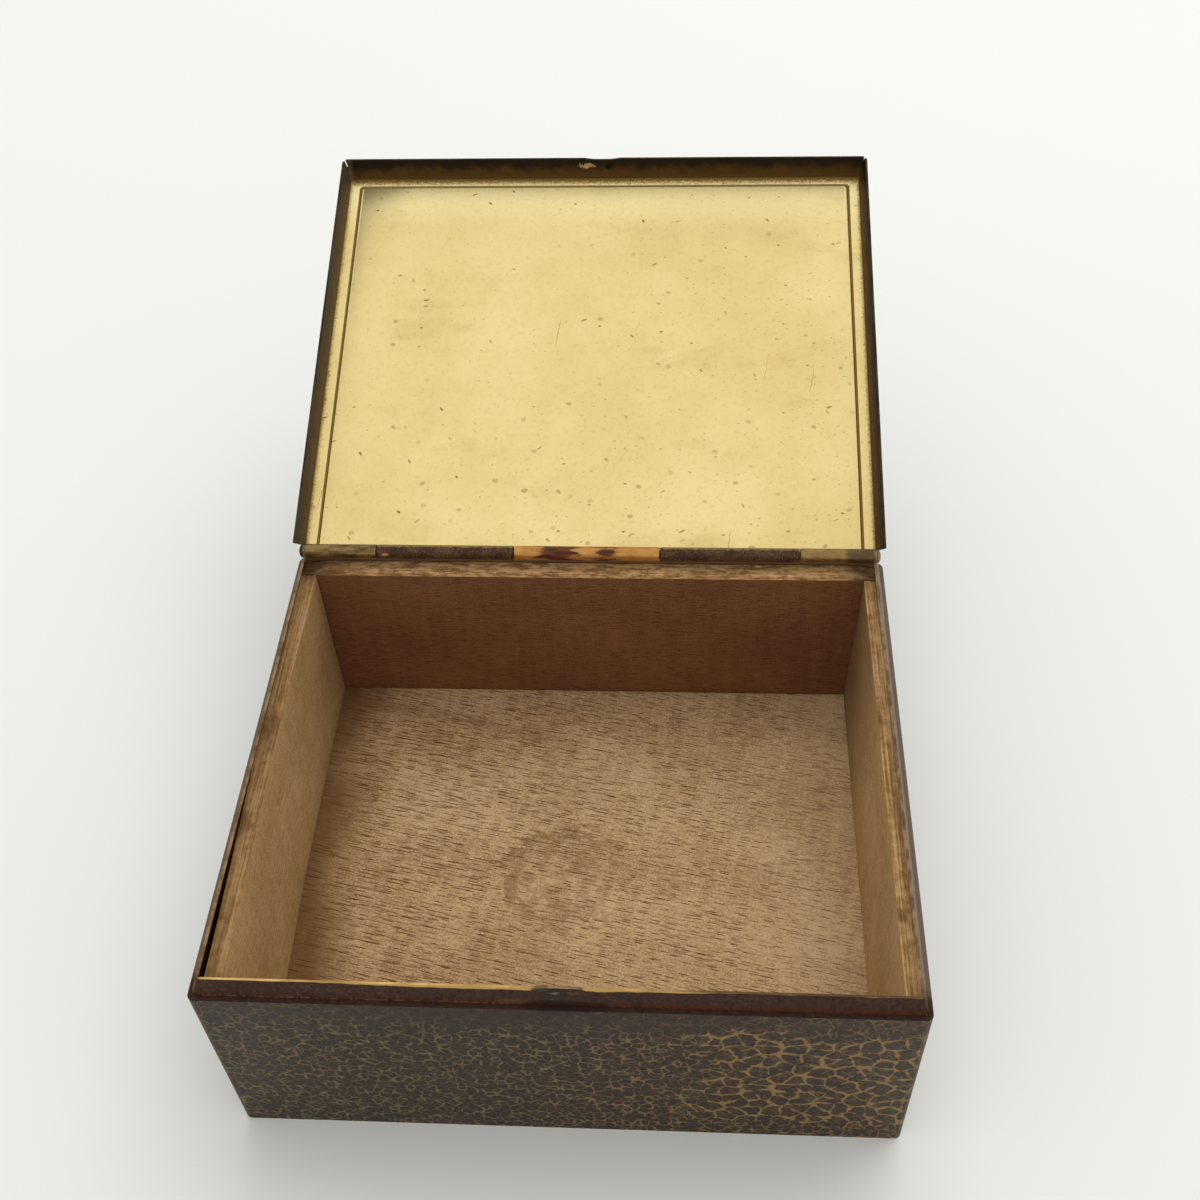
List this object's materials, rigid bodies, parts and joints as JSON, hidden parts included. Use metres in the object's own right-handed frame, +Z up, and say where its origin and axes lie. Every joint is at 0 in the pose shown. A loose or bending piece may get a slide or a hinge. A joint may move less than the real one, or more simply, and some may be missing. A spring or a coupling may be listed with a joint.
{
  "type": "trinket box",
  "caption": "Low rectangular sheet-brass box in crackled brown lacquer, lined with wooden boards, with a flat flanged lid that swings on rolled knuckles and a wire pin.",
  "frame": {"origin": "middle of the underside of the base plate, where the box stands", "axes": "+X to the right seen from the front, +Y towards the hinge at the back, +Z up; stored with the lid swung back on its open stop"},
  "size_m": [0.12, 0.1907, 0.0844],
  "materials": {
    "lacquered_case": "crackled brown lacquer over sheet brass, gold showing in the cracks",
    "lid_brass": "satin brass inside with specks of tarnish, brown crackle lacquer outside",
    "pin_wire": "dull tarnished wire",
    "floor_wood": "bare light brown hardwood with dark pores",
    "side_wood": "bare brown hardwood",
    "back_wood": "bare reddish brown hardwood"
  },
  "bodies": {
    "case": {"case_shell": "lacquered_case", "base_plate": "lacquered_case", "floor_board": "floor_wood", "front_board": "side_wood", "back_board": "back_wood", "left_board": "side_wood", "right_board": "side_wood", "hinge_pin": "pin_wire"},
    "lid": {"lid_shell": "lid_brass"}
  },
  "joints": [
    {"name": "lid_hinge", "type": "hinge", "parent": "case", "child": "lid", "pos_m": [0, 0.04855, 0.0492], "axis": [1, 0, 0], "range_deg": [0, 161]}
  ]
}
